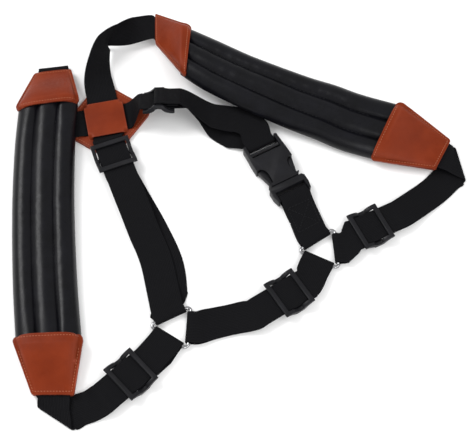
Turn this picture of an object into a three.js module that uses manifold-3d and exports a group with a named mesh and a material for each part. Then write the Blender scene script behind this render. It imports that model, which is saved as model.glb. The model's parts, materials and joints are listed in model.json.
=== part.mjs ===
// Saxophone shoulder harness, laid out flat: two padded shoulder straps, a leather back yoke,
// six runs of 30 mm webbing, five adjusters, one side-release buckle and two triangular rings.
// Millimetres, +Z up. The origin is the centre of the yoke's underside.
import * as THREE from 'three';
import { mergeVertices } from 'three/addons/utils/BufferGeometryUtils.js';
import Module from 'manifold-3d';

const wasm = await Module();
wasm.setup();

// ---- driving dimensions ----
const WEB_WIDTH = 30;
const WEB = 1.5; // webbing thickness
const GAP = 0.3; // clearance between neighbouring pieces
const LAYER = WEB + GAP; // pitch of stacked webbing
const LOW = 0.95; // middle of the webbing layer that lies on the table
const HIGH = LOW + LAYER; // middle of the layer on top of it
const FOLD = 2.3; // pitch of the two layers at a slanted fold

const PAD_WIDTH = 59;
const PAD_THICK = 14;
const SKIN = 1.2; // pad cover and lining sheet
const LEATHER = 1.6;
const CAP_WIDE = 65;
const CAP_NARROW = 37;

const YOKE_TURN = 12; // degrees, direction of the left-right webbing through the yoke
const YOKE_SIDE_A = 70;
const YOKE_SIDE_B = 64;
const SLOT_OUT = 21.5; // yoke centre to the middle of a webbing slot
const PANEL = 39; // raised centre panel of the yoke

const RING_WIRE = 1.6; // radius
const RING_SIDE = 42.5;
const RING_BEND = 3; // corner radius of the wire's centre line
const RING_Z = LOW + WEB / 2 + 0.15 + RING_WIRE;

const SLIDER_WIDTH = 38.4;
const SLIDER_LENGTH = 31;
const SLIDER_ARM = 3.4;
const SLIDER_BAR = 4.6;
const CENTRE_BAR = 3.8;
const SLIDER_Z = 6.8; // middle of the webbing that runs through an adjuster

const BUCKLE_Z = 6.2;
const BUCKLE_THICK = 11;
const BUCKLE_HEADING = -61;
const BUCKLE_MOUTH = new THREE.Vector3(177, -73.5, BUCKLE_Z);

const RING_LEFT = { x: 75.5, y: -222.5, turn: -3 };
const RING_RIGHT = { x: 211.5, y: -144, turn: 4 };

// ---- materials ----
const finish = {
  leather: { color: 0xb4532f, roughness: 0.55, metalness: 0 },
  satin: { color: 0x17171a, roughness: 0.38, metalness: 0 },
  foam: { color: 0x2b2b2e, roughness: 0.95, metalness: 0 },
  lining: { color: 0x1d1d20, roughness: 0.85, metalness: 0 },
  webbing: { color: 0x151517, roughness: 0.8, metalness: 0 },
  plastic: { color: 0x232326, roughness: 0.42, metalness: 0 },
  chrome: { color: 0xc9cbd0, roughness: 0.14, metalness: 1 },
};

const harness = new THREE.Group();

function piece(name, geometry, look) {
  const mesh = new THREE.Mesh(geometry, new THREE.MeshStandardMaterial(finish[look]));
  mesh.name = name;
  harness.add(mesh);
  return mesh;
}

// ---- geometry helpers ----
const rad = THREE.MathUtils.degToRad;
const flat = (degrees) => new THREE.Vector3(Math.cos(rad(degrees)), Math.sin(rad(degrees)), 0);

function solid(geometry) {
  const bare = geometry.clone();
  bare.deleteAttribute('normal');
  bare.deleteAttribute('uv');
  const merged = mergeVertices(bare, 1e-4);
  return new wasm.Manifold(new wasm.Mesh({
    numProp: 3,
    vertProperties: new Float32Array(merged.attributes.position.array),
    triVerts: new Uint32Array(merged.index.array),
  }));
}

function toGeometry(manifold) {
  const mesh = manifold.getMesh();
  const geometry = new THREE.BufferGeometry();
  geometry.setAttribute('position', new THREE.BufferAttribute(new Float32Array(mesh.vertProperties), 3));
  geometry.setIndex(Array.from(mesh.triVerts));
  return geometry;
}

// A station is [x, y, z, rib] or [x, y, z, rib, { tilt, wide }]: a point on the middle line, the
// direction in degrees that the width runs in, how far that direction tips up, and a width factor.
// Where no factor is given it follows from the slant between the rib and the middle line.
function frames(stations, steps) {
  const curve = new THREE.CatmullRomCurve3(
    stations.map(([x, y, z]) => new THREE.Vector3(x, y, z)), false, 'centripetal');
  const rows = (stations.length - 1) * steps;
  return Array.from({ length: rows + 1 }, (_, row) => {
    const from = Math.min(Math.floor(row / steps), stations.length - 2);
    const part = row / steps - from;
    const [a, b] = [stations[from], stations[from + 1]];
    const mix = (key, rest) => THREE.MathUtils.lerp(a[4]?.[key] ?? rest, b[4]?.[key] ?? rest, part);
    const tilt = mix('tilt', 0);
    const level = flat(THREE.MathUtils.lerp(a[3], b[3], part));
    const across = level.clone().multiplyScalar(Math.cos(rad(tilt)));
    across.z = Math.sin(rad(tilt));
    const tangent = curve.getTangent(row / rows);
    const up = new THREE.Vector3().crossVectors(tangent, across).normalize();
    const slant = Math.abs(tangent.x * level.y - tangent.y * level.x) / Math.hypot(tangent.x, tangent.y);
    const isFlat = Math.abs(tangent.z) < 0.5 && Math.abs(across.z) < 0.035;
    const wide = mix('wide', isFlat ? 1 / Math.max(slant, 0.85) : 1);
    return { at: curve.getPoint(row / rows), across, up, wide };
  });
}

// Sweeps closed outlines of [across, up] points along a row of frames. Upper and lower faces are
// split along the same diagonal, so that a twisted strip keeps its thickness.
function sweep(rows, outlineAt, closed = false) {
  const outlines = rows.map((row, i) => outlineAt(row, i));
  const rings = rows.map((row, i) => outlines[i].map(([a, b]) =>
    row.at.clone().addScaledVector(row.across, a).addScaledVector(row.up, b)));
  const size = rings[0].length;
  const spans = closed ? rings.length : rings.length - 1;
  const index = [];
  for (let i = 0; i < spans; i += 1) {
    const next = (i + 1) % rings.length;
    for (let j = 0; j < size; j += 1) {
      const k = (j + 1) % size;
      const [a, b, c, d] = [i * size + j, i * size + k, next * size + j, next * size + k];
      if (outlines[i][k][0] >= outlines[i][j][0]) index.push(a, b, d, a, d, c);
      else index.push(a, b, c, b, d, c);
    }
  }
  if (!closed) {
    const outline = outlines[0].map(([a, b]) => new THREE.Vector2(a, b));
    const last = (rings.length - 1) * size;
    for (const [p, q, r] of THREE.ShapeUtils.triangulateShape(outline, [])) {
      index.push(p, r, q, last + p, last + q, last + r);
    }
  }
  const geometry = new THREE.BufferGeometry();
  const points = rings.flat().flatMap((p) => p.toArray());
  geometry.setAttribute('position', new THREE.Float32BufferAttribute(points, 3));
  geometry.setIndex(index);
  return geometry;
}

// Outline of a flat strip between two heights, with `parts` divisions across its width.
function strip(width, low, high, parts = 1) {
  const steps = Array.from({ length: parts + 1 }, (_, i) => (i / parts - 0.5) * width);
  return [...steps.map((a) => [a, low]), ...steps.reverse().map((a) => [a, high])];
}

function ribbon(stations, { steps = 3, parts = 1 } = {}) {
  return sweep(frames(stations, steps), ({ wide }) => strip(WEB_WIDTH * wide, -WEB / 2, WEB / 2, parts));
}

// Stations of a half turn round a bar at `at`, reached while travelling along `heading`.
// `over` arrives above the bar and leaves below it; `shift` turns the rib end for end.
function barTurn(at, heading, radius, { over = true, shift = 0, lead = 6 } = {}) {
  const side = over ? 1 : -1;
  return [-1, 0, 45, 90, 135, 180, 181].map((step) => {
    const angle = rad(THREE.MathUtils.clamp(step, 0, 180));
    const run = step < 0 || step > 180 ? -lead : radius * Math.sin(angle);
    const p = flat(heading).multiplyScalar(run).add(at);
    return [p.x, p.y, at.z + side * radius * Math.cos(angle), heading + 90 + shift];
  });
}

// Stations of a slanted fold: webbing travelling along `heading` reaches `at`, turns over the
// line that `crease` points along and comes back one layer above (rise 1) or below (rise -1).
function slantFold(at, heading, crease, rise) {
  const travel = flat(heading);
  const along = flat(crease);
  if (along.dot(travel) < 0) along.negate();
  const outward = flat(crease + 90);
  if (outward.dot(travel) < 0) outward.negate();
  const radius = FOLD / 2;
  const drift = radius * Math.PI * along.dot(travel) / outward.dot(travel);
  return [-1, 0, 30, 60, 90, 120, 150, 180, 181].map((step) => {
    const turned = THREE.MathUtils.clamp(step, 0, 180);
    const lead = step === turned ? 0 : 1.5;
    const p = at.clone()
      .addScaledVector(outward, radius * Math.sin(rad(turned)) - lead * outward.dot(travel))
      .addScaledVector(along, drift * turned / 180 + Math.sign(step) * lead * along.dot(travel));
    const z = at.z + rise * radius * (1 - Math.cos(rad(turned)));
    return [p.x, p.y, z, crease, { wide: 1 / outward.dot(travel) }];
  });
}

// ---- triangular rings ----
function ringBar(ring, heading) {
  const inradius = RING_SIDE / (2 * Math.sqrt(3));
  return new THREE.Vector3(ring.x, ring.y, RING_Z).addScaledVector(flat(heading), inradius);
}

function ringGeometry(ring) {
  const corner = RING_SIDE / Math.sqrt(3) - 2 * RING_BEND;
  const centre = new THREE.Vector3(ring.x, ring.y, RING_Z);
  const rows = [];
  for (const side of [0, 1, 2]) {
    const bisector = 180 + ring.turn + side * 120;
    const hub = centre.clone().addScaledVector(flat(bisector), corner);
    for (let step = -60; step <= 60; step += 15) {
      const out = flat(bisector + step);
      const at = hub.clone().addScaledVector(out, RING_BEND);
      rows.push({ at, across: out, up: new THREE.Vector3(0, 0, 1) });
    }
  }
  const circle = Array.from({ length: 12 }, (_, i) => {
    const angle = (i / 12) * 2 * Math.PI;
    return [RING_WIRE * Math.cos(angle), RING_WIRE * Math.sin(angle)];
  });
  return sweep(rows, () => circle.slice().reverse(), true);
}

piece('ring_left', ringGeometry(RING_LEFT), 'chrome');
piece('ring_right', ringGeometry(RING_RIGHT), 'chrome');

// ---- adjusters ----
// Local frame: x along the webbing towards its ring, y across, z up; the webbing runs at z = 0,
// under the two outer bars and over the centre bar, which carries the sewn webbing end.
const BAR_TOP = -WEB / 2 - GAP - WEB - GAP;
const BAR_THICK = 1.9;
const OUTER_LOW = WEB / 2 + GAP;
const OUTER_THICK = 2.2;

function roundedBar(length, thick, span) {
  const shape = new THREE.Shape();
  const r = thick * 0.35;
  const [x, y] = [length / 2, thick / 2];
  shape.moveTo(-x + r, -y).lineTo(x - r, -y).quadraticCurveTo(x, -y, x, -y + r);
  shape.lineTo(x, y - r).quadraticCurveTo(x, y, x - r, y);
  shape.lineTo(-x + r, y).quadraticCurveTo(-x, y, -x, y - r);
  shape.lineTo(-x, -y + r).quadraticCurveTo(-x, -y, -x + r, -y);
  const geometry = new THREE.ExtrudeGeometry(shape, { depth: span, bevelEnabled: false, curveSegments: 3 });
  geometry.translate(0, 0, -span / 2);
  geometry.rotateX(Math.PI / 2);
  return geometry;
}

function sliderGeometry() {
  const half = SLIDER_LENGTH / 2;
  const high = OUTER_LOW + OUTER_THICK;
  const low = BAR_TOP - BAR_THICK;
  const arm = new THREE.Shape();
  arm.moveTo(-half, OUTER_LOW).lineTo(-half, high - 0.6).lineTo(-half + 0.6, high).lineTo(-half + 4, high);
  arm.quadraticCurveTo(-4.5, high - 1.2, -3, BAR_TOP + 1.6);
  arm.quadraticCurveTo(0, BAR_TOP + 0.6, 3, BAR_TOP + 1.6);
  arm.quadraticCurveTo(4.5, high - 1.2, half - 4, high);
  arm.lineTo(half - 0.6, high).lineTo(half, high - 0.6);
  arm.lineTo(half, OUTER_LOW).quadraticCurveTo(half - 6, OUTER_LOW - 0.2, 4.5, low).lineTo(-4.5, low);
  arm.quadraticCurveTo(-half + 6, OUTER_LOW - 0.2, -half, OUTER_LOW);
  const side = new THREE.ExtrudeGeometry(arm, { depth: SLIDER_ARM, bevelEnabled: false, curveSegments: 5 });
  side.rotateX(Math.PI / 2);
  const span = SLIDER_WIDTH - 1;
  let body = solid(side.clone().translate(0, SLIDER_WIDTH / 2, 0));
  body = body.add(solid(side.clone().translate(0, SLIDER_ARM - SLIDER_WIDTH / 2, 0)));
  for (const x of [-half + SLIDER_BAR / 2, half - SLIDER_BAR / 2]) {
    const bar = roundedBar(SLIDER_BAR, OUTER_THICK, span).translate(x, 0, OUTER_LOW + OUTER_THICK / 2);
    body = body.add(solid(bar));
  }
  body = body.add(solid(roundedBar(CENTRE_BAR, BAR_THICK, span).translate(0, 0, BAR_TOP - BAR_THICK / 2)));
  return toGeometry(body);
}

// The webbing end that is looped round the centre bar and sewn to itself.
function sewnEndGeometry() {
  const barZ = BAR_TOP - BAR_THICK / 2;
  const off = BAR_THICK / 2 + GAP + WEB / 2;
  const tuck = LAYER / 2 + 0.1;
  const path = [[19, tuck], [13, tuck], [9, tuck + 0.2], [4.5, off], [1, off], [-2, off],
    [-3.5, off * 0.7]];
  const back = path.slice().reverse().map(([x, z]) => [x > 18 ? x + 2 : x, -z]);
  const loop = [...path, [-4.1, 0], ...back];
  return ribbon(loop.map(([x, z]) => [x, 0, barZ + z, 90]));
}

// Where the adjusters sit: `heading` runs towards the ring or buckle, `tilt` rolls the webbing
// about that direction and `flipped` turns the adjuster over.
const adjusters = {
  back_left: { at: [11, -45, SLIDER_Z + 3.6], heading: -69 },
  back_right: { at: [53.5, 11.5, 20], heading: 2, tilt: -26, flipped: true },
  front_left: { at: [37, -269.5, SLIDER_Z], heading: 43 },
  front_right: { at: [256, -122.5, SLIDER_Z], heading: 206 },
  chest: { at: [178, -191, SLIDER_Z], heading: 33 },
};

function adjusterFrame({ at, heading, tilt = 0, flipped = false }) {
  const x = flat(heading);
  const y = flat(heading + 90).applyAxisAngle(x, rad(tilt));
  const z = new THREE.Vector3().crossVectors(x, y);
  if (flipped) {
    y.negate();
    z.negate();
  }
  return new THREE.Matrix4().makeBasis(x, y, z).setPosition(...at);
}

for (const [name, where] of Object.entries(adjusters)) {
  const frame = adjusterFrame(where);
  piece(`adjuster_${name}`, sliderGeometry(), 'plastic').applyMatrix4(frame);
  piece(`sewn_end_${name}`, sewnEndGeometry(), 'webbing').applyMatrix4(frame);
}

// Stations `runs` mm along an adjuster's heading, on the middle line of its webbing.
function throughAdjuster(name, runs, shift = 0) {
  const { at, heading, tilt = 0 } = adjusters[name];
  return runs.map((run) => {
    const p = flat(heading).multiplyScalar(run).add(new THREE.Vector3(...at));
    return [p.x, p.y, p.z, heading + 90 + shift, { tilt: shift ? -tilt : tilt }];
  });
}

// ---- side-release buckle ----
// Local frame: x from the socket towards the plug's webbing bar, y across, z up; the socket's
// mouth is at x = 0. A closed ring round the mouth holds the plug: at rest the heads of the two
// spring arms stand behind it, and squeezed in they pass through it.
const SOCKET_LENGTH = 51;
const CAVITY = 7.4; // inside height of the socket
const MOUTH_HALF = 13.3; // half of the mouth's inside width
const MOUTH_DEPTH = 3.2; // length of the ring round the mouth
const HEAD_THICK = 6.8; // fits the cavity
const HEAD_FRONT = -MOUTH_DEPTH - 0.4;
const buckleFrame = new THREE.Matrix4()
  .makeBasis(flat(BUCKLE_HEADING), flat(BUCKLE_HEADING + 90), new THREE.Vector3(0, 0, 1))
  .setPosition(BUCKLE_MOUTH);

function plate(shape, thick) {
  const options = { depth: thick, bevelEnabled: false, curveSegments: 8 };
  return new THREE.ExtrudeGeometry(shape, options).translate(0, 0, -thick / 2);
}

function block(x0, x1, y0, y1, thick) {
  return solid(new THREE.BoxGeometry(x1 - x0, y1 - y0, thick).translate((x0 + x1) / 2, (y0 + y1) / 2, 0));
}

function socketGeometry() {
  const outline = new THREE.Shape();
  outline.moveTo(0, -14.2).lineTo(0, 14.2).lineTo(-2, 16).quadraticCurveTo(-10, 19.6, -20, 19.6);
  outline.lineTo(-33, 19.4).quadraticCurveTo(-43, 18.6, -SOCKET_LENGTH + 1, 18.6);
  outline.lineTo(-SOCKET_LENGTH, 17.6).lineTo(-SOCKET_LENGTH, -17.6).lineTo(-SOCKET_LENGTH + 1, -18.6);
  outline.quadraticCurveTo(-43, -18.6, -33, -19.4).lineTo(-20, -19.6);
  outline.quadraticCurveTo(-10, -19.6, -2, -16).lineTo(0, -14.2);
  let body = solid(plate(outline, BUCKLE_THICK));
  body = body.subtract(block(-32, -MOUTH_DEPTH, -16.5, 16.5, CAVITY));
  body = body.subtract(block(-MOUTH_DEPTH - 1, 1, -MOUTH_HALF, MOUTH_HALF, CAVITY));
  for (const side of [-1, 1]) {
    const window = new THREE.Shape();
    window.moveTo(-21.6, side * 21).lineTo(-21.6, side * 16);
    window.quadraticCurveTo(-19, side * 11, -12, side * 11);
    window.lineTo(-MOUTH_DEPTH - 1.4, side * 11.4).lineTo(-MOUTH_DEPTH, side * 12.4);
    window.lineTo(-MOUTH_DEPTH, side * 21);
    body = body.subtract(solid(plate(window, BUCKLE_THICK + 2)));
  }
  body = body.subtract(block(-52, -50.3, -15.7, 15.7, BUCKLE_THICK + 2));
  body = body.subtract(block(-47.3, -42.4, -15.7, 15.7, BUCKLE_THICK + 2));
  body = body.subtract(block(-39.2, -36, -15.7, 15.7, BUCKLE_THICK + 2));
  const shave = solid(new THREE.BoxGeometry(19, 31.4, 6).translate(-45.2, 0, 4.7));
  const shaveBelow = solid(new THREE.BoxGeometry(19, 31.4, 6).translate(-45.2, 0, -4.7));
  return toGeometry(body.subtract(shave).subtract(shaveBelow));
}

function plugGeometry() {
  const outline = new THREE.Shape();
  outline.moveTo(0.5, -17).lineTo(3, -19.2).lineTo(11, -19.2).lineTo(18, -17.6).lineTo(18, 17.6);
  outline.lineTo(11, 19.2).lineTo(3, 19.2).lineTo(0.5, 17);
  let body = solid(plate(outline, 9.4));
  body = body.subtract(block(7.6, 12.4, -15.7, 15.7, 12)).subtract(block(15.4, 20, -15.7, 15.7, 12));
  for (const level of [-4.9, 4.9]) {
    body = body.subtract(solid(new THREE.BoxGeometry(14, 31.4, 6.6).translate(14.6, 0, level)));
  }
  for (const side of [-1, 1]) {
    body = body.subtract(block(-1, 3.6, side > 0 ? 7.4 : -13.2, side > 0 ? 13.2 : -7.4, 5.8));
  }
  body = body.add(block(-19, 1, -4, 4, 5));
  return toGeometry(body);
}

// A spring arm and its head; the head's straight outer side comes parallel to the buckle's axis,
// inside the mouth, when the arm is squeezed in by 14 degrees.
function plugArmGeometry(side) {
  const beam = new THREE.Shape();
  beam.moveTo(3, side * 8).lineTo(3, side * 11.2).lineTo(-8, side * 12.6).lineTo(-21, side * 14.6);
  beam.lineTo(-25, side * 12.4).lineTo(-25, side * 10.2).lineTo(-14, side * 9.6);
  const head = new THREE.Shape();
  head.moveTo(HEAD_FRONT, side * 11).lineTo(HEAD_FRONT, side * 14.4);
  head.lineTo(-20, side * 18.45).lineTo(-21, side * 17.9).lineTo(-21, side * 13.4);
  return toGeometry(solid(plate(beam, 5)).add(solid(plate(head, HEAD_THICK))));
}

piece('buckle_socket', socketGeometry(), 'plastic').applyMatrix4(buckleFrame);
piece('buckle_plug', plugGeometry(), 'plastic').applyMatrix4(buckleFrame);
piece('buckle_arm_left', plugArmGeometry(-1), 'plastic').applyMatrix4(buckleFrame);
piece('buckle_arm_right', plugArmGeometry(1), 'plastic').applyMatrix4(buckleFrame);

const buckleBar = (x) => new THREE.Vector3(x, 0, 0).applyMatrix4(buckleFrame);
const SOCKET_BAR = buckleBar(-SOCKET_LENGTH + 2.2);
const PLUG_BAR = buckleBar(13.9);

// ---- shoulder pads ----
// Each pad is a foam core under a crowned cover, closed by a flat lining. Two seams
// divide the cover into three channels.
// Lines run from the upper cap to the lower one.
const padLines = {
  left: [
    [-57, 15, 15, 10], [-57, -30, 14, 5], [-54.5, -86, 13, 4], [-52, -118, 12.5, 5], [-49, -150, 12, 6],
    [-44.5, -190, 11.5, 6], [-37, -244, 11.2, 2],
  ],
  right: [
    [74, 73, 25, 90], [106, 54, 24, 72], [133, 39, 23, 66], [163, 24, 22, 64, { tilt: 4 }],
    [192, 10, 21.5, 65, { tilt: 10 }], [217, -1, 21.5, 67, { tilt: 16 }],
    [241, -13, 21.5, 67, { tilt: 21 }], [279, -26, 21, 61, { tilt: 25 }],
  ],
};

const PAD_BOTTOM = -PAD_THICK / 2;
const CHANNEL = 10; // seam distance from the pad's centre line
const PAD_POINTS = 20;

function padTop(a, inset) {
  const across = Math.min(Math.abs(a) / (PAD_WIDTH / 2 - inset), 1);
  const crown = Math.sqrt(1 - across ** 4) * (PAD_THICK - SKIN - GAP - inset);
  const seam = Math.exp(-(((Math.abs(a) - CHANNEL) / 1.6) ** 2)) * 2.2;
  return PAD_BOTTOM + SKIN + GAP + Math.max(crown - seam, 0);
}

function padCurve(inset) {
  const half = PAD_WIDTH / 2 - inset;
  return Array.from({ length: PAD_POINTS + 1 }, (_, i) => {
    const a = -half * Math.cos((i / PAD_POINTS) * Math.PI);
    return [a, padTop(a, inset)];
  });
}

function pad(side, line) {
  const rows = frames(line, 3);
  const outer = padCurve(0);
  const inner = padCurve(SKIN);
  const foam = padCurve(SKIN + GAP);
  const cover = [...inner, ...outer.slice().reverse()];
  piece(`pad_cover_${side}`, sweep(rows, () => cover), 'satin');
  piece(`pad_foam_${side}`, sweep(rows, () => foam.slice().reverse()), 'foam');
  const lining = strip(PAD_WIDTH - 2, PAD_BOTTOM, PAD_BOTTOM + SKIN);
  piece(`pad_lining_${side}`, sweep(rows, () => lining), 'lining');
}

pad('left', padLines.left);
pad('right', padLines.right);

// ---- leather caps ----
// A cap is two leaves sewn over the end of a pad; they taper to the webbing that leaves it.
const CAP_REACH = 10; // how far a cap covers its pad
const TIP_Z = 4.8;
const capTips = {
  left_upper: [-56.5, 57, TIP_Z, 8],
  left_lower: [-30.5, -288, TIP_Z, 0],
  right_upper: [46, 108, 10, 92],
  right_lower: [331, -44, 8, 62],
};

// Rows of a cap's middle surface, from the pad to the tip.
function capRows(name) {
  const [side, end] = name.split('_');
  const rows = frames(padLines[side], 12);
  if (end === 'upper') rows.reverse();
  const last = rows.at(-1);
  const [x, y, z, rib] = capTips[name];
  const tip = new THREE.Vector3(x, y, z);
  const flip = end === 'upper' ? -1 : 1;
  const onPad = rows.filter((row) => row.at.distanceTo(last.at) < CAP_REACH && row !== last);
  const start = onPad[0];
  const placed = [start, last].map((row) => (
    { at: row.at, across: row.across.clone().multiplyScalar(flip), up: row.up, part: 0 }));
  const reach = tip.distanceTo(last.at);
  placed[0].part = -start.at.distanceTo(last.at) / reach;
  for (const part of [0.08, 0.2, 0.35, 0.5, 0.65, 0.8, 0.9, 1]) {
    const across = last.across.clone().lerp(flat(rib), part).multiplyScalar(flip).normalize();
    const up = last.up.clone().lerp(new THREE.Vector3(0, 0, 1), part).normalize();
    placed.push({ at: last.at.clone().lerp(tip, part), across, up, part });
  }
  return placed;
}

function cap(name) {
  const rows = capRows(name);
  const first = rows[0].part;
  for (const [leaf, side] of [['front', 1], ['back', -1]]) {
    const onPad = PAD_THICK / 2 + GAP;
    const onWeb = WEB / 2 + GAP + 0.15;
    const geometry = sweep(rows, ({ part }) => {
      const width = THREE.MathUtils.mapLinear(part, first, 1, CAP_WIDE, CAP_NARROW);
      const near = THREE.MathUtils.lerp(onPad, onWeb, THREE.MathUtils.smoothstep(part, 0.04, 0.95));
      const [low, high] = side > 0 ? [near, near + LEATHER] : [-near - LEATHER, -near];
      return strip(width, low, high, 4);
    });
    piece(`cap_${name}_${leaf}`, geometry, 'leather');
  }
}

Object.keys(capTips).forEach(cap);

// ---- back yoke ----
// Two leaves of leather; the front one has a raised centre panel and four slots for the webbing.
const FRONT_LOW = LEATHER + GAP;
const YOKE_WEB_LOW = FRONT_LOW + WEB / 2;
const YOKE_WEB_HIGH = FRONT_LOW + LEATHER + GAP + WEB / 2;
const PANEL_LOW = YOKE_WEB_HIGH + WEB / 2 + GAP;
const SLOT_HALF = WEB_WIDTH / 2 + 0.6;

function yokeOutline(thick, low) {
  const [x, y, r] = [YOKE_SIDE_A / 2, YOKE_SIDE_B / 2, 9];
  const shape = new THREE.Shape();
  shape.moveTo(-x + r, -y).lineTo(x - r, -y).quadraticCurveTo(x, -y, x, -y + r).lineTo(x, y - r);
  shape.quadraticCurveTo(x, y, x - r, y).lineTo(-x + r, y).quadraticCurveTo(-x, y, -x, y - r);
  shape.lineTo(-x, -y + r).quadraticCurveTo(-x, -y, -x + r, -y);
  const options = { depth: thick, bevelEnabled: false, curveSegments: 6 };
  return new THREE.ExtrudeGeometry(shape, options).translate(0, 0, low).rotateZ(rad(45));
}

const box = (x, y, low, high) => new THREE.BoxGeometry(x, y, high - low).translate(0, 0, (low + high) / 2);

function yokeFront() {
  let leaf = solid(yokeOutline(LEATHER, FRONT_LOW));
  const reach = 2 * SLOT_OUT + 5;
  leaf = leaf.subtract(solid(box(reach, 2 * SLOT_HALF, 0, 9)));
  leaf = leaf.subtract(solid(box(2 * SLOT_HALF, reach, 0, 9)));
  const post = (PANEL / 2) - SLOT_HALF;
  for (const [x, y] of [[1, 1], [-1, 1], [-1, -1], [1, -1]]) {
    const middle = SLOT_HALF + post / 2;
    const pillar = box(post, post, FRONT_LOW, PANEL_LOW + 0.8);
    leaf = leaf.add(solid(pillar.translate(x * middle, y * middle, 0)));
  }
  return toGeometry(leaf.add(solid(box(PANEL, PANEL, PANEL_LOW, PANEL_LOW + LEATHER))));
}

piece('yoke_back', yokeOutline(LEATHER, 0), 'leather').rotation.z = rad(YOKE_TURN);
piece('yoke_front', yokeFront(), 'leather').rotation.z = rad(YOKE_TURN);

// ---- webbing ----
const RING_TURN = RING_WIRE + 0.15 + WEB / 2;
const BUCKLE_TURN = 3.1;

// Stations from inside a cap, past the end of its pad, to its tip. `swing` is how far the rib has
// turned at the last of them, past the tip, on its way to a slanted fold.
function fromCap(name, { shift = 0, past = 1.1, swing = 0 } = {}) {
  const [side, end] = name.split('_');
  const line = padLines[side];
  const [x0, y0, z0, rib0, options] = end === 'upper' ? line[0] : line.at(-1);
  const [x1, y1, z1, rib1] = capTips[name];
  return [0.1, 0.4, 0.7, 1, past].map((part) => {
    const mix = (a, b) => THREE.MathUtils.lerp(a, b, part);
    const tilt = mix(options?.tilt ?? 0, 0) * (shift ? -1 : 1) * (part > 1 ? 0 : 1);
    const rib = mix(rib0, rib1) + shift + (part > 1 ? swing : 0);
    return [mix(x0, x1), mix(y0, y1), mix(z0, z1), rib, { tilt, wide: 1 }];
  });
}

// Stations [run, z, swing] along the webbing that crosses the yoke at `turn` degrees; `swing` is
// how far the rib is still turned after a slanted fold.
const yokeRun = (turn, runs) => runs.map(([run, z, swing = 0]) => {
  const p = flat(turn).multiplyScalar(run);
  return [p.x, p.y, z, turn + 90 + swing];
});

const at = (x, y, z) => new THREE.Vector3(x, y, z);

// The same station with its width direction written as a half turn of tilt, so that the webbing
// can tip over past upright.
const tippedOver = ([x, y, z, rib, { tilt = 0, ...rest } = {}]) => (
  [x, y, z, rib - 180, { tilt: -180 - tilt, ...rest }]);

piece('webbing_back_left', ribbon([
  ...fromCap('right_upper', { shift: 180 }).map(tippedOver),
  tippedOver([23, 104, 12, 268, { tilt: -15 }]),
  tippedOver([2.5, 95, 16.5, 211, { tilt: -58 }]),
  [-4.5, 84, 18, 22, { tilt: -72 }],
  [-9, 68, 14, 30, { tilt: -47 }],
  [-10, 48, 9.5, 24, { tilt: -22 }],
  ...yokeRun(YOKE_TURN - 90, [[-32, 5.2], [-24, YOKE_WEB_HIGH],
    [-17, YOKE_WEB_HIGH], [16, YOKE_WEB_HIGH], [20.5, YOKE_WEB_HIGH]]),
  ...throughAdjuster('back_left', [-20, -16, 0, 20, 41, 45]),
  [33.8, -103, 8, 24],
  [44, -128, 4, 21],
  [51.5, -145, HIGH, 19],
  [56.5, -160, HIGH, 16],
  [60.7, -178, HIGH, 14],
  [64.3, -194, 3.6, 20],
  ...barTurn(ringBar(RING_LEFT, 120 + RING_LEFT.turn), 300 + RING_LEFT.turn, RING_TURN,
    { shift: -360 }),
  [72, -193, LOW, 22],
  [66, -160, LOW, 17],
  [50, -122, LOW, 26],
  [39, -101, LOW, 29],
]), 'webbing');

piece('webbing_back_right', ribbon([
  ...fromCap('left_upper', { shift: 180, past: 1.04 }),
  ...barTurn(at(-56.5, 61.5, (TIP_Z + LOW) / 2), 98, (TIP_Z - LOW) / 2, { lead: 1.5 }),
  [-58.5, 35, LOW, 186],
  [-59.3, 12, LOW, 182],
  ...slantFold(at(-59.5, -13, LOW), -90, 141, 1),
  ...yokeRun(YOKE_TURN, [[-48, 4.1, 24], [-40, 4.8, 9], [-31, 4.8], [-24.5, YOKE_WEB_HIGH],
    [-15.5, YOKE_WEB_LOW], [-12, YOKE_WEB_LOW], [12, YOKE_WEB_LOW], [15.5, YOKE_WEB_LOW],
    [24.5, YOKE_WEB_HIGH + 0.2]]),
  ...throughAdjuster('back_right', [-18.5, -16, 0, 24, 27.5]),
  [98, 4, 9, 70, { tilt: -22 }],
  [113, -8, LOW + 0.8, 52],
  [128, -18, 1.8, 47],
  [142, -22.5, 3, 36],
  ...barTurn(SOCKET_BAR, BUCKLE_HEADING, BUCKLE_TURN, { over: false }),
  [146, -12, 8.4, 36],
  [136, -4, 7.6, 58],
  [122, -1, 7.4, 82],
  [108, 0.5, 9.5, 84, { tilt: -6 }],
]), 'webbing');

piece('webbing_front_left', ribbon([
  ...fromCap('left_lower', { past: 1.16, swing: -18 }),
  ...slantFold(at(-28, -306, LOW + FOLD), -86, -33, -1),
  [-7, -300, LOW, -66],
  [4, -296, 2, -60],
  ...throughAdjuster('front_left', [-31.5, -27, 0, 16, 19.5], -180),
  ...barTurn(ringBar(RING_LEFT, 240 + RING_LEFT.turn), 60 + RING_LEFT.turn, RING_TURN, { shift: -180 }),
  [60, -247, LOW, -40],
]), 'webbing');

piece('webbing_front_right', ribbon([
  ...fromCap('right_lower', { swing: 15 }),
  ...slantFold(at(346.5, -50, LOW + FOLD), -25, 100, -1),
  [334, -66, LOW, 136],
  [320, -80, LOW, 131],
  [303, -94, 3, 123],
  ...throughAdjuster('front_right', [-31.5, -27, 0, 16, 19.5], -180),
  ...barTurn(ringBar(RING_RIGHT, RING_RIGHT.turn), 180 + RING_RIGHT.turn, RING_TURN, { shift: -180 }),
  [233, -142, LOW, 97],
], { parts: 4 }), 'webbing');

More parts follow.
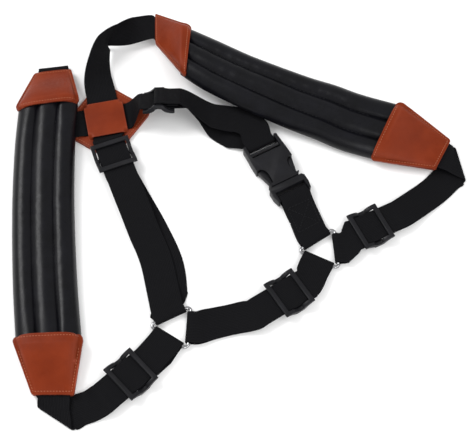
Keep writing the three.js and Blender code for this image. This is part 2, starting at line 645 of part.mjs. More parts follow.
piece('webbing_chest', ribbon([
  [128, -213.5, LOW, 106],
  [108, -219, LOW, 102],
  ...barTurn(ringBar(RING_LEFT, RING_LEFT.turn), 180 + RING_LEFT.turn, RING_TURN,
    { over: false, shift: -180 }),
  [108, -219, HIGH + 0.6, 102],
  [128, -214.5, HIGH, 108],
  ...throughAdjuster('chest', [-37.5, -33, 0, 16, 19.5]),
  ...barTurn(ringBar(RING_RIGHT, 240 + RING_RIGHT.turn), 60 + RING_RIGHT.turn, RING_TURN),
  [199.3, -168.5, LOW, 148],
]), 'webbing');

piece('webbing_buckle', ribbon([
  [194, -108.7, LOW, 25],
  [190, -99, 1.6, 26],
  ...barTurn(PLUG_BAR, BUCKLE_HEADING + 180, BUCKLE_TURN, { over: false, shift: -180 }),
  [190, -99, 6, 26],
  [194.5, -110, 4.2, 26],
  ...barTurn(ringBar(RING_RIGHT, 120 + RING_RIGHT.turn), 300 + RING_RIGHT.turn, RING_TURN, { shift: -360 }),
  [194.6, -110, LOW, 25],
]), 'webbing');

export default harness;
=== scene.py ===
import json
import math

import bmesh
import bpy
import numpy as np
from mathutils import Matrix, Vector
from mathutils.noise import noise

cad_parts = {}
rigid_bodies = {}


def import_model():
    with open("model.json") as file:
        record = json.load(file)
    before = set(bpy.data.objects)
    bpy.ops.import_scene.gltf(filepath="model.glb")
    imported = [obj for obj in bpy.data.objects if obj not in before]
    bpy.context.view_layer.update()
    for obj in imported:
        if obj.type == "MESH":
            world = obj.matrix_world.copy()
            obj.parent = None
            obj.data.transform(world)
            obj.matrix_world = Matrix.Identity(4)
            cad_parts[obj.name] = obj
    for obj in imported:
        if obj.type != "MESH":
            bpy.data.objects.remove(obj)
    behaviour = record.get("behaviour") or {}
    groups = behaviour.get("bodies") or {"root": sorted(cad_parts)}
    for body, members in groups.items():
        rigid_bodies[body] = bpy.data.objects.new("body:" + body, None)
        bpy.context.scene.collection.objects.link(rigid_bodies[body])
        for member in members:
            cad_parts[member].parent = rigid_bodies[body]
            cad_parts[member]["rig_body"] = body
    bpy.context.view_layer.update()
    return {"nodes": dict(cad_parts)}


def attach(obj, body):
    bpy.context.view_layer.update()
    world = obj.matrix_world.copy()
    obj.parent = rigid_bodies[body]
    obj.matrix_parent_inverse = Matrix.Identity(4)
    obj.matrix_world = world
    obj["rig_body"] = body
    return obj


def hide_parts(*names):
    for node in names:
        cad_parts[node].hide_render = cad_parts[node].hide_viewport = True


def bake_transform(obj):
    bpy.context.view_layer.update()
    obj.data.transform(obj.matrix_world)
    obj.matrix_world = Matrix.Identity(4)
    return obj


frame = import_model()

# Shapes are worked out in millimetres, like the CAD part, and scaled to metres in make_object.
MM = 0.001
ROOT = "harness"

# ---- dimensions shared with the CAD part ----
WEB_WIDTH = 30
WEB = 1.5
GAP = 0.3
LAYER = WEB + GAP
LOW = 0.95
HIGH = LOW + LAYER
FOLD = 2.3
PAD_WIDTH = 59
PAD_THICK = 14
SKIN = 1.2
LEATHER = 1.6
CAP_WIDE = 65
CAP_NARROW = 37
CAP_REACH = 10
CAP_TIP_Z = 4.8
YOKE_TURN = 12
YOKE_SIDE_A = 70
YOKE_SIDE_B = 64
PANEL = 39
RING_WIRE = 1.6
RING_SIDE = 42.5
RING_BEND = 3
RING_Z = LOW + WEB / 2 + 0.15 + RING_WIRE
SLIDER_Z = 6.8
BUCKLE_HEADING = -61
BUCKLE_MOUTH = (177, -73.5, 6.2)
SOCKET_LENGTH = 51
RING_TURN = RING_WIRE + 0.15 + WEB / 2
BUCKLE_TURN = 3.1
RING_LEFT = {"x": 75.5, "y": -222.5, "turn": -3}
RING_RIGHT = {"x": 211.5, "y": -144, "turn": 4}

FRONT_LOW = LEATHER + GAP
YOKE_WEB_LOW = FRONT_LOW + WEB / 2
YOKE_WEB_HIGH = FRONT_LOW + LEATHER + GAP + WEB / 2

# ---- detail dimensions of the visual model ----
ROWS = 10  # rows of mesh between two stations of a webbing
THREAD = 0.32
THREAD_SIDES = 6
STITCH = 3.0
STITCH_GAP = 1.2
LEATHER_STITCH = 1.9
LEATHER_STITCH_GAP = 0.8
BOX_STITCH = 2.4
BOX_STITCH_GAP = 0.9
BOX_EDGE = 3.2  # from the webbing's edge to the stitched box
FLAT_ANGLE = 4  # faces of a CAD node that meet at less than this are joined
LEATHER_EDGE = 0.5
CAP_EDGE = 0.45
ADJUSTER_EDGE = 0.55
BUCKLE_EDGE = 0.45


# ---- vectors and curves ----
def unit(v):
    return v / np.linalg.norm(v)


def flat(degrees):
    angle = math.radians(degrees)
    return np.array([math.cos(angle), math.sin(angle), 0.0])


def smoothstep(x, low, high):
    t = np.clip((x - low) / (high - low), 0, 1)
    return t * t * (3 - 2 * t)


def catmull_rom(points):
    """The centripetal Catmull-Rom curve through points, as a function of 0 to 1."""
    ends = [2 * points[0] - points[1], *points, 2 * points[-1] - points[-2]]

    def at(t):
        run = min(max(t, 0), 1) * (len(points) - 1)
        i = min(int(run), len(points) - 2)
        w = run - i
        p0, p1, p2, p3 = ends[i:i + 4]
        d0, d1, d2 = (math.sqrt(np.linalg.norm(b - a)) for a, b in ((p0, p1), (p1, p2), (p2, p3)))
        t1 = ((p1 - p0) / d0 - (p2 - p0) / (d0 + d1) + (p2 - p1) / d1) * d1
        t2 = ((p2 - p1) / d1 - (p3 - p1) / (d1 + d2) + (p3 - p2) / d2) * d1
        c2 = 3 * (p2 - p1) - 2 * t1 - t2
        c3 = 2 * (p1 - p2) + t1 + t2
        return p1 + w * (t1 + w * (c2 + w * c3))

    return at


class Row:
    """One cross-section of a sweep: its middle, width direction, up direction and width factor."""

    def __init__(self, at, across, up, wide=1.0, part=0.0):
        self.at, self.across, self.up, self.wide, self.part = at, across, up, wide, part

    def place(self, a, b):
        return self.at + a * self.across + b * self.up


def frames(stations, steps):
    """Rows along stations (x, y, z, rib degrees, optional {tilt, wide}), as in the CAD part."""
    curve = catmull_rom([np.array(s[:3], float) for s in stations])
    count = (len(stations) - 1) * steps
    rows = []
    for row in range(count + 1):
        start = min(row // steps, len(stations) - 2)
        part = row / steps - start
        a, b = stations[start], stations[start + 1]

        def mix(key, rest):
            first = a[4].get(key, rest) if len(a) > 4 else rest
            last = b[4].get(key, rest) if len(b) > 4 else rest
            return first + (last - first) * part

        tilt = mix("tilt", 0)
        level = flat(a[3] + (b[3] - a[3]) * part)
        across = level * math.cos(math.radians(tilt))
        across[2] = math.sin(math.radians(tilt))
        t = row / count
        tangent = unit(curve(t + 1e-4) - curve(t - 1e-4))
        up = unit(np.cross(tangent, across))
        flatness = math.hypot(tangent[0], tangent[1])
        slant = abs(tangent[0] * level[1] - tangent[1] * level[0]) / max(flatness, 1e-9)
        is_flat = abs(tangent[2]) < 0.5 and abs(across[2]) < 0.035
        wide = mix("wide", 1 / max(slant, 0.85) if is_flat else 1)
        rows.append(Row(curve(t), across, up, wide))
    return rows


# ---- meshes ----
def make_object(name, points, faces, material, smooth=40, weave=None):
    """A mesh object in metres from millimetre points; weave holds (along, across) for each point."""
    mesh = bpy.data.meshes.new(name)
    mesh.from_pydata([tuple(p * MM) for p in points], [], faces)
    if weave is not None:
        layer = mesh.attributes.new("weave", "FLOAT_VECTOR", "POINT")
        values = np.zeros((len(points), 3), np.float32)
        values[:, :2] = np.array(weave) * MM
        layer.data.foreach_set("vector", values.ravel())
    mesh.polygons.foreach_set("use_smooth", [True] * len(mesh.polygons))
    mesh.set_sharp_from_angle(angle=math.radians(smooth))
    mesh.materials.append(material)
    obj = bpy.data.objects.new(name, mesh)
    bpy.context.scene.collection.objects.link(obj)
    return obj


def sweep(name, rows, outline_at, material, closed=False, smooth=40):
    """Sweeps a closed outline of (across, up) points along rows."""
    rings = [outline_at(row) for row in rows]
    size = len(rings[0])
    points, weave, along = [], [], 0.0
    for i, (row, ring) in enumerate(zip(rows, rings)):
        if i:
            along += np.linalg.norm(row.at - rows[i - 1].at)
        for a, b in ring:
            points.append(row.place(a, b))
            weave.append((along, a / row.wide))
    faces = []
    for i in range(len(rows) if closed else len(rows) - 1):
        j = (i + 1) % len(rows)
        for k in range(size):
            m = (k + 1) % size
            faces.append((i * size + k, i * size + m, j * size + m, j * size + k))
    if not closed:
        last = (len(rows) - 1) * size
        faces.append(tuple(reversed(range(size))))
        faces.append(tuple(range(last, last + size)))
    return make_object(name, points, faces, material, smooth, weave)


def webbing_outline(row):
    """Flat woven tape: a rounded edge and slightly thicker selvedges."""
    half = WEB_WIDTH * row.wide / 2
    across = np.array([-1, -0.985, -0.95, -0.9, -0.6, -0.2, 0.2, 0.6, 0.9, 0.95, 0.985, 1])
    thick = np.interp(np.abs(across), [0, 0.88, 0.94, 0.985, 1], [0.92, 0.92, 1, 0.75, 0.25]) * WEB / 2
    low = [(half * a, -b) for a, b in zip(across, thick)]
    high = [(half * a, b) for a, b in zip(across[::-1], thick[::-1])]
    return low + high


def ribbon(name, stations, body=ROOT):
    rows = frames(stations, ROWS)
    obj = sweep(name, rows, webbing_outline, WEBBING, smooth=60)
    if body:
        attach(obj, body)
    return obj, rows


def bar_turn(at, heading, radius, over=True, shift=0, lead=6):
    """Stations that carry webbing half way round a bar at the given radius."""
    side = 1 if over else -1
    stations = []
    for step in (-1, 0, 45, 90, 135, 180, 181):
        angle = math.radians(min(max(step, 0), 180))
        run = -lead if step in (-1, 181) else radius * math.sin(angle)
        p = np.array(at, float) + flat(heading) * run
        stations.append((p[0], p[1], at[2] + side * radius * math.cos(angle), heading + 90 + shift))
    return stations


def slant_fold(at, heading, crease, rise):
    """Stations of a fold whose crease lies at an angle to the webbing."""
    travel, along, outward = flat(heading), flat(crease), flat(crease + 90)
    along = along if along @ travel >= 0 else -along
    outward = outward if outward @ travel >= 0 else -outward
    radius = FOLD / 2
    drift = radius * math.pi * (along @ travel) / (outward @ travel)
    stations = []
    for step in (-1, 0, 30, 60, 90, 120, 150, 180, 181):
        turned = min(max(step, 0), 180)
        lead = 0 if step == turned else 1.5
        way = -1 if step < 0 else 1
        angle = math.radians(turned)
        p = np.array(at, float) + outward * (radius * math.sin(angle) - lead * (outward @ travel))
        p = p + along * (drift * turned / 180 + way * lead * (along @ travel))
        z = at[2] + rise * radius * (1 - math.cos(angle))
        stations.append((p[0], p[1], z, crease, {"wide": 1 / (outward @ travel)}))
    return stations


def round_edges(obj, width, angle, segments=3):
    """Rounds the edges that are sharper than angle."""
    bevel = obj.modifiers.new("edges", "BEVEL")
    bevel.width = width * MM
    bevel.segments = segments
    bevel.limit_method = "ANGLE"
    bevel.angle_limit = math.radians(angle)
    bevel.use_clamp_overlap = True
    apply_modifiers(obj)


def shade_smooth(obj, sharp_angle):
    obj.data.polygons.foreach_set("use_smooth", [True] * len(obj.data.polygons))
    obj.data.set_sharp_from_angle(angle=math.radians(sharp_angle))


def refined(node, material, width, segments=2):
    """A copy of a CAD node with its flat faces joined and its edges rounded, that stands for it."""
    source = frame["nodes"][node]
    mesh = source.data.copy()
    mesh.materials.clear()
    mesh.materials.append(material)
    bm = bmesh.new()
    bm.from_mesh(mesh)
    bmesh.ops.remove_doubles(bm, verts=bm.verts, dist=1e-5)
    bmesh.ops.dissolve_limit(bm, angle_limit=math.radians(FLAT_ANGLE), verts=bm.verts, edges=bm.edges)
    bm.to_mesh(mesh)
    bm.free()
    obj = bpy.data.objects.new(f"{node}_shape", mesh)
    bpy.context.scene.collection.objects.link(obj)
    round_edges(obj, width, 35, segments)
    shade_smooth(obj, 38)
    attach(obj, source["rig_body"])
    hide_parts(node)


def apply_modifiers(obj):
    bpy.context.view_layer.update()
    graph = bpy.context.evaluated_depsgraph_get()
    baked = bpy.data.meshes.new_from_object(obj.evaluated_get(graph))
    obj.modifiers.clear()
    old, obj.data = obj.data, baked
    bpy.data.meshes.remove(old)


def fix_normals(obj):
    bm = bmesh.new()
    bm.from_mesh(obj.data)
    bmesh.ops.recalc_face_normals(bm, faces=bm.faces)
    bm.to_mesh(obj.data)
    bm.free()


def grid_faces(down, wide, rim):
    """Faces of a sheet of two layers of down by wide points, closed along rim, a loop round its edge."""
    layer = down * wide
    faces = []
    for i in range(down - 1):
        for j in range(wide - 1):
            p = i * wide + j
            inner = (p, p + 1, p + wide + 1, p + wide)
            faces += [inner, tuple(q + layer for q in reversed(inner))]
    for k, p in enumerate(rim):
        q = rim[(k + 1) % len(rim)]
        faces.append((q, p, p + layer, q + layer))
    return faces


# ---- stitches ----
def stitches(name, path, body, material, length=STITCH, gap=STITCH_GAP):
    """Thread along path, a list of (point, up): short rounded stitches that dip at both ends."""
    points = np.array([p for p, _ in path])
    ups = np.array([u for _, u in path])
    lengths = np.r_[0, np.cumsum(np.linalg.norm(np.diff(points, axis=0), axis=1))]
    pitch = length + gap
    count = max(int(lengths[-1] // pitch), 1)
    verts, faces = [], []

    def sample(run):
        return [
            np.array([np.interp(run, lengths, data[:, axis]) for axis in range(3)])
            for data in (points, ups)
        ]

    for i in range(count):
        first = i * pitch + gap / 2
        base = len(verts)
        profile = ((0, 0.25, -0.9), (0.12, 0.8, 0.1), (0.5, 1, 0.45), (0.88, 0.8, 0.1), (1, 0.25, -0.9))
        for share, size, lift in profile:
            p, u = sample(first + share * length)
            q, _ = sample(first + share * length + 0.05)
            u = unit(u)
            side = unit(np.cross(unit(q - p), u))
            for k in range(THREAD_SIDES):
                angle = k * 2 * math.pi / THREAD_SIDES
                ring = side * math.cos(angle) + u * math.sin(angle)
                verts.append(p + u * lift * THREAD + ring * THREAD * size)
        for r in range(len(profile) - 1):
            for k in range(THREAD_SIDES):
                m = (k + 1) % THREAD_SIDES
                a, b = base + r * THREAD_SIDES, base + (r + 1) * THREAD_SIDES
                faces.append((a + k, b + k, b + m, a + m))
        last = base + (len(profile) - 1) * THREAD_SIDES
        faces.append(tuple(base + k for k in range(THREAD_SIDES)))
        faces.append(tuple(last + k for k in reversed(range(THREAD_SIDES))))
    obj = make_object(name, verts, faces, material, 80)
    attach(obj, body)


# ---- materials ----
class Shader:
    """A node material with a few short helpers."""

    def __init__(self, name, **values):
        self.material = bpy.data.materials.new(name)
        self.material.use_nodes = True
        self.tree = self.material.node_tree
        self.bsdf = self.tree.nodes["Principled BSDF"]
        for key, value in values.items():
            self.bsdf.inputs[key.replace("_", " ")].default_value = value

    def add(self, kind, settings=None, **inputs):
        node = self.tree.nodes.new(kind)
        for key, value in (settings or {}).items():
            setattr(node, key, value)
        for key, value in inputs.items():
            socket = node.inputs[key.replace("_", " ")]
            if isinstance(value, bpy.types.NodeSocket):
                self.tree.links.new(value, socket)
            else:
                socket.default_value = value
        return node

    def place(self):
        return self.add("ShaderNodeTexCoord").outputs["Object"]

    def noise(self, vector, scale, detail):
        node = self.add("ShaderNodeTexNoise", Vector=vector, Scale=scale, Detail=detail, Roughness=0.55)
        return node.outputs["Fac"]

    def cells(self, vector, scale):
        edges = {"feature": "DISTANCE_TO_EDGE"}
        return self.add("ShaderNodeTexVoronoi", edges, Vector=vector, Scale=scale).outputs["Distance"]

    def math(self, operation, a, b=0.0, clamp=False):
        node = self.tree.nodes.new("ShaderNodeMath")
        node.operation = operation
        node.use_clamp = clamp
        for socket, value in zip(node.inputs, (a, b)):
            if isinstance(value, bpy.types.NodeSocket):
                self.tree.links.new(value, socket)
            else:
                socket.default_value = value
        return node.outputs[0]

    def ramp(self, fac, *stops):
        node = self.tree.nodes.new("ShaderNodeValToRGB")
        self.tree.links.new(fac, node.inputs["Fac"])
        elements = node.color_ramp.elements
        while len(elements) < len(stops):
            elements.new(0.5)
        for element, (position, color) in zip(elements, stops):
            element.position = position
            grey = isinstance(color, (int, float))
            element.color = (color, color, color, 1) if grey else (*color, 1)
        return node.outputs["Color"]

    def bump(self, height, strength, distance, after=None):
        node = self.add("ShaderNodeBump", Height=height, Strength=strength, Distance=distance * MM)
        if after is not None:
            self.tree.links.new(after, node.inputs["Normal"])
        return node.outputs["Normal"]

    def set(self, **sockets):
        for key, value in sockets.items():
            self.tree.links.new(value, self.bsdf.inputs[key.replace("_", " ")])
        return self.material


def leather_material(name, deep, middle, light):
    """Smooth finished leather: fine pebble grain, cloudy dye and edges that have worn lighter."""
    s = Shader(name, Specular_IOR_Level=0.09)
    place = s.place()
    cloud = s.noise(place, 38, 5)
    grain = s.cells(place, 1050)
    pores = s.noise(place, 2600, 2)
    worn = s.ramp(s.add("ShaderNodeNewGeometry").outputs["Pointiness"], (0.5, 0.0), (0.56, 1.0))
    dye = s.ramp(cloud, (0.28, deep), (0.5, middle), (0.74, light))
    mix = s.add("ShaderNodeMix", {"data_type": "RGBA"})
    s.tree.links.new(s.math("MULTIPLY", worn, 0.55), mix.inputs["Factor"])
    s.tree.links.new(dye, mix.inputs["A"])
    mix.inputs["B"].default_value = (*[min(c * 1.5 + 0.03, 1) for c in light], 1)
    rough = s.ramp(s.noise(place, 260, 3), (0.3, 0.34), (0.7, 0.48))
    first = s.bump(s.ramp(grain, (0.0, 0.0), (0.18, 1.0)), 0.35, 0.16)
    return s.set(Base_Color=mix.outputs["Result"], Roughness=rough, Normal=s.bump(pores, 0.2, 0.08, first))


def satin_material(name):
    """Black satin leatherette: very fine grain with a soft sheen."""
    s = Shader(name, Specular_IOR_Level=0.15)
    place = s.place()
    tone = s.ramp(s.noise(place, 55, 5), (0.3, (0.0022, 0.0022, 0.003)), (0.7, (0.0045, 0.0045, 0.0065)))
    rough = s.ramp(s.noise(place, 420, 3), (0.3, 0.27), (0.7, 0.38))
    folds = s.bump(s.noise(place, 95, 3), 0.22, 0.5)
    return s.set(Base_Color=tone, Roughness=rough, Normal=s.bump(s.cells(place, 1500), 0.22, 0.1, folds))


def webbing_material(name):
    """Woven tape: raised ribs along it, crossed by the weft, and tight selvedges; painted shade darkens the
    colour in the weave's hollows.
    """
    s = Shader(name, Specular_IOR_Level=0.05)
    weave = s.add("ShaderNodeAttribute", {"attribute_name": "weave"}).outputs["Vector"]
    split = s.add("ShaderNodeSeparateXYZ", Vector=weave)
    along, across = split.outputs["X"], split.outputs["Y"]
    ribs = s.math("SINE", s.math("MULTIPLY", across, 2 * math.pi / (1.5 * MM)))
    zigzag = s.math("PINGPONG", across, 1.5 * MM)
    slanted = s.math("ADD", along, s.math("MULTIPLY", zigzag, 0.9))
    weft = s.math("SINE", s.math("MULTIPLY", slanted, 2 * math.pi / (1.1 * MM)))
    height = s.math("ADD", s.math("MULTIPLY", ribs, 0.22), s.math("MULTIPLY", weft, 0.28))
    height = s.math("ADD", height, 0.5, clamp=True)
    fuzz = s.noise(s.place(), 900, 3)
    # Painted shade: the colour is darker where the weave is low, mixed with random fuzz.
    weave_shade_and_fuzz = s.math("ADD", s.math("MULTIPLY", height, 0.6), s.math("MULTIPLY", fuzz, 0.4))
    tone = s.ramp(weave_shade_and_fuzz, (0.25, (0.0012, 0.0012, 0.0015)), (0.8, (0.009, 0.009, 0.0105)))
    rough = s.ramp(fuzz, (0.3, 0.55), (0.7, 0.78))
    return s.set(Base_Color=tone, Roughness=rough, Normal=s.bump(height, 0.75, 0.35))


def lining_material(name):
    s = Shader(name, Specular_IOR_Level=0.3, Sheen_Weight=0.3)
    place = s.place()
    mesh = s.cells(place, 520)
    tone = s.ramp(mesh, (0.04, (0.028, 0.028, 0.03)), (0.3, (0.006, 0.006, 0.007)))
    rough = s.ramp(mesh, (0.0, 0.7), (0.5, 0.9))
    return s.set(Base_Color=tone, Roughness=rough, Normal=s.bump(mesh, 0.6, 0.5))


def plastic_material(name):
    """Moulded black acetal: a fine spark-eroded texture with slight flow marks."""
    s = Shader(name, Specular_IOR_Level=0.16)
    place = s.place()
    tone = s.ramp(s.noise(place, 70, 4), (0.3, (0.005, 0.005, 0.006)), (0.7, (0.009, 0.009, 0.011)))
    rough = s.ramp(s.noise(place, 500, 3), (0.3, 0.3), (0.7, 0.44))
    return s.set(Base_Color=tone, Roughness=rough, Normal=s.bump(s.noise(place, 3200, 2), 0.3, 0.06))


def chrome_material(name):
    s = Shader(name, Metallic=1.0)
    place = s.place()
    tone = s.ramp(s.noise(place, 120, 4), (0.3, (0.27, 0.27, 0.28)), (0.7, (0.4, 0.4, 0.41)))
    stretched = s.add("ShaderNodeMapping", Vector=place, Scale=(60, 900, 900)).outputs["Vector"]
    rough = s.ramp(s.noise(stretched, 3, 3), (0.3, 0.08), (0.75, 0.22))
    return s.set(Base_Color=tone, Roughness=rough, Normal=s.bump(s.noise(stretched, 6, 2), 0.08, 0.05))


def thread_material(name, dark, light):
    s = Shader(name, Specular_IOR_Level=0.15)
    place = s.place()
    ply = s.noise(place, 1800, 3)
    return s.set(
        Base_Color=s.ramp(ply, (0.3, dark), (0.7, light)),
        Roughness=s.ramp(ply, (0.3, 0.5), (0.7, 0.75)),
        Normal=s.bump(ply, 0.5, 0.12),
    )


LEATHER_MATERIAL = leather_material(
    "leather", (0.118, 0.014, 0.0026), (0.148, 0.0185, 0.0034), (0.182, 0.0245, 0.005)
)
SATIN = satin_material("pad_cover")
WEBBING = webbing_material("webbing")
LINING = lining_material("lining")
PLASTIC = plastic_material("plastic")
CHROME = chrome_material("ring_wire")
TAN_THREAD = thread_material("leather_thread", (0.27, 0.075, 0.035), (0.4, 0.14, 0.075))
BLACK_THREAD = thread_material("black_thread", (0.004, 0.004, 0.005), (0.014, 0.014, 0.016))


# ---- wire rings ----
def ring_bar(ring, heading):
    inradius = RING_SIDE / (2 * math.sqrt(3))
    return np.array([ring["x"], ring["y"], RING_Z]) + flat(heading) * inradius


def wire_ring(name, ring):
    """A triangular ring of round wire with bent corners."""
    corner = RING_SIDE / math.sqrt(3) - 2 * RING_BEND
    centre = np.array([ring["x"], ring["y"], RING_Z])
    rows = []
    for side in range(3):
        bisector = 180 + ring["turn"] + side * 120
        hub = centre + flat(bisector) * corner
        for step in range(-60, 61, 6):
            out = flat(bisector + step)
            rows.append(Row(hub + out * RING_BEND, out, np.array([0, 0, 1.0])))
    angles = [-k * 2 * math.pi / 24 for k in range(24)]
    circle = [(RING_WIRE * math.cos(a), RING_WIRE * math.sin(a)) for a in angles]
    obj = sweep(f"{name}_wire", rows, lambda row: circle, CHROME, closed=True, smooth=80)
    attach(obj, ROOT)
    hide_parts(name)


wire_ring("ring_left", RING_LEFT)
wire_ring("ring_right", RING_RIGHT)

# ---- shoulder pads ----
PAD_LINES = {
    "left": [
        (-57, 15, 15, 10), (-57, -30, 14, 5), (-54.5, -86, 13, 4), (-52, -118, 12.5, 5),
        (-49, -150, 12, 6), (-44.5, -190, 11.5, 6), (-37, -244, 11.2, 2),
    ],
    "right": [
        (74, 73, 25, 90), (106, 54, 24, 72), (133, 39, 23, 66), (163, 24, 22, 64, {"tilt": 4}),
        (192, 10, 21.5, 65, {"tilt": 10}), (217, -1, 21.5, 67, {"tilt": 16}),
        (241, -13, 21.5, 67, {"tilt": 21}), (279, -26, 21, 61, {"tilt": 25}),
    ],
}
PAD_BOTTOM = -PAD_THICK / 2
SEAM = 10  # distance of each seam from the pad's centre line
PAD_ACROSS = 44
COVER_LOW = PAD_BOTTOM + SKIN + GAP
SEAM_HOLD = 1.3  # the cloth is held this close to a seam
SEAM_REACH = 6  # how far a seam's creases reach
RIM_HOLD = 0.5
CREASE = 0.55
SWELL = 0.7
PUFF_PRESSURE = 200
PUFF_MASS = 0.02
PUFF_STRETCH = 8
PUFF_SHEAR = 4
PUFF_BEND = 0.2
PUFF_FRAMES = 14
PUFF_LIMIT = 1.6  # the furthest that the cloth may move a point


def pad_height(a):
    """Height of the cover above its lower edge: a crown that the two seams pull in."""
    share = min(abs(a) / (PAD_WIDTH / 2), 1)
    crown = (1 - share ** 3.2) ** 0.5 * (PAD_THICK - SKIN - GAP)
    valley = 3.0 * math.exp(-(((abs(a) - SEAM) / 1.9) ** 2)) + 1.1 * math.exp(-(((abs(a) - SEAM) / 5) ** 2))
    return max(crown - valley, 0)


def pad_outline(_row=None):
    """Cross-section of the cover: flat below and crowned above."""
    half = PAD_WIDTH / 2
    columns = [-half * math.cos(math.pi * i / PAD_ACROSS) for i in range(PAD_ACROSS + 1)]
    top = [(a, COVER_LOW + pad_height(a)) for a in reversed(columns)]
    return [(a, COVER_LOW) for a in np.linspace(-half, half, 9)[1:-1]] + top


def pucker(obj, rows, side):
    """Small creases that run from the seams across the channels, as sewn leatherette has."""
    outline = pad_outline()
    size = len(outline)
    flat_points = size - (PAD_ACROSS + 1)
    for i, row in enumerate(rows):
        for j in range(flat_points, size):
            a = outline[j][0]
            near = math.exp(-(((abs(a) - SEAM) / SEAM_REACH) ** 2))
            edge = smoothstep(abs(a), PAD_WIDTH / 2, PAD_WIDTH / 2 - 4)
            wave = noise(Vector((i * 0.34, a * 0.055, 3.1 if side == "left" else 8.7)))
            swell = noise(Vector((i * 0.06, a * 0.03, 5.5)))
            lift = (wave * CREASE * near + swell * SWELL) * edge
            vertex = obj.data.vertices[i * size + j]
            vertex.co += Vector(row.up * lift * MM)


def inflate(obj, rows):
    """Cloth pressure puffs the channels out between the seams, the lower edge and the ends."""
    outline = pad_outline()
    size = len(outline)
    held = []
    for i, row in enumerate(rows):
        to_end = min(np.linalg.norm(row.at - end.at) for end in (rows[0], rows[-1]))
        under_cap = to_end < CAP_REACH + 2
        for j, (a, b) in enumerate(outline):
            on_seam = abs(abs(a) - SEAM) < SEAM_HOLD
            if b <= COVER_LOW + RIM_HOLD or on_seam or under_cap:
                held.append(i * size + j)
    group = obj.vertex_groups.new(name="held")
    group.add(held, 1.0, "REPLACE")
    start = np.array([v.co for v in obj.data.vertices])
    cloth = obj.modifiers.new("puff", "CLOTH")
    settings = cloth.settings
    settings.effector_weights.gravity = 0
    settings.use_pressure = True
    settings.uniform_pressure_force = PUFF_PRESSURE
    settings.vertex_group_mass = "held"
    settings.mass = PUFF_MASS
    settings.tension_stiffness = PUFF_STRETCH
    settings.compression_stiffness = PUFF_STRETCH
    settings.shear_stiffness = PUFF_SHEAR
    settings.bending_stiffness = PUFF_BEND
    settings.quality = 5
    cloth.collision_settings.use_collision = False
    scene = bpy.context.scene
    scene.frame_start, scene.frame_end = 1, PUFF_FRAMES
    cloth.point_cache.frame_start, cloth.point_cache.frame_end = 1, PUFF_FRAMES
    for step in range(1, PUFF_FRAMES + 1):
        scene.frame_set(step)
    graph = bpy.context.evaluated_depsgraph_get()
    puffed = np.array([v.co for v in obj.evaluated_get(graph).data.vertices])
    obj.modifiers.clear()
    obj.vertex_groups.clear()
    scene.frame_set(1)
    move = puffed - start
    length = np.linalg.norm(move, axis=1, keepdims=True)
    move *= np.minimum(1, PUFF_LIMIT * MM / np.maximum(length, 1e-12))
    obj.data.vertices.foreach_set("co", (start + move).astype(np.float32).ravel())
    obj.data.update()
    most, average = length.max() / MM, length.mean() / MM
    print(f"{obj.name}: cloth moved points up to {most:.2f} mm, on average {average:.2f}")


def pad(side):
    rows = frames(PAD_LINES[side], 14)
    cover = sweep(f"pad_{side}", rows, pad_outline, SATIN, smooth=75)
    pucker(cover, rows, side)
    inflate(cover, rows)
    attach(cover, ROOT)
    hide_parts(f"pad_cover_{side}", f"pad_foam_{side}")
    half = PAD_WIDTH / 2 - 1
    low, high = PAD_BOTTOM, PAD_BOTTOM + SKIN
    rim = [(-half + 0.4, low), (half - 0.4, low), (half, low + 0.4), (half, high), (-half, high),
           (-half, low + 0.4)]
    lining = sweep(f"lining_{side}", rows, lambda row: rim, LINING)
    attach(lining, ROOT)
    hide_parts(f"pad_lining_{side}")
    for sign in (-1, 1):
        a = sign * SEAM
        path = [(row.place(a, COVER_LOW + pad_height(a) + 0.1), row.up) for row in rows[8:-8]]
        end = "left" if sign < 0 else "right"
        stitches(f"pad_{side}_seam_{end}", path, ROOT, BLACK_THREAD)


pad("left")
pad("right")

# ---- leather caps ----
CAP_TIPS = {
    "left_upper": (-56.5, 57, CAP_TIP_Z, 8),
    "left_lower": (-30.5, -288, CAP_TIP_Z, 0),
    "right_upper": (46, 108, 10, 92),
    "right_lower": (331, -44, 8, 62),
}
CAP_ACROSS = np.linspace(-1, 1, 41)
MARGIN = 2.4  # distance of the stitching from a cap's edge
CAP_CORNERS = (6.0, 2.5)  # corner radius at the pad and at the tip


def cap_rows(name):
    """Rows of a cap from over the pad to its tip, narrowing, with rounded corners."""
    side, end = name.split("_")
    rows = frames(PAD_LINES[side], 12)
    if end == "upper":
        rows.reverse()
    last = rows[-1]
    x, y, z, rib = CAP_TIPS[name]
    tip = np.array([x, y, z], float)
    flip = -1 if end == "upper" else 1
    start = next(r for r in rows if np.linalg.norm(r.at - last.at) < CAP_REACH and r is not last)
    reach = np.linalg.norm(tip - last.at)
    first = -np.linalg.norm(start.at - last.at) / reach
    placed = []
    for turn in np.linspace(0, math.pi, 56):
        part = first + (1 - first) * (1 - math.cos(turn)) / 2
        if part < 0:
            share = part / first
            at = last.at + (start.at - last.at) * share
            across = unit(last.across * (1 - share) + start.across * share) * flip
            up = unit(last.up * (1 - share) + start.up * share)
        else:
            at = last.at + (tip - last.at) * part
            across = unit(last.across * (1 - part) + flat(rib) * part) * flip
            up = unit(last.up * (1 - part) + np.array([0, 0, 1.0]) * part)
        row = Row(at, across, up, part=part)
        share = (part - first) / (1 - first)
        row.wide = (CAP_WIDE + (CAP_NARROW - CAP_WIDE) * share) / 2
        for corner, away in zip(CAP_CORNERS, ((part - first) * reach, (1 - part) * reach)):
            short = max(corner - away, 0)
            row.wide -= corner - math.sqrt(corner ** 2 - short ** 2)
        placed.append(row)
    return placed


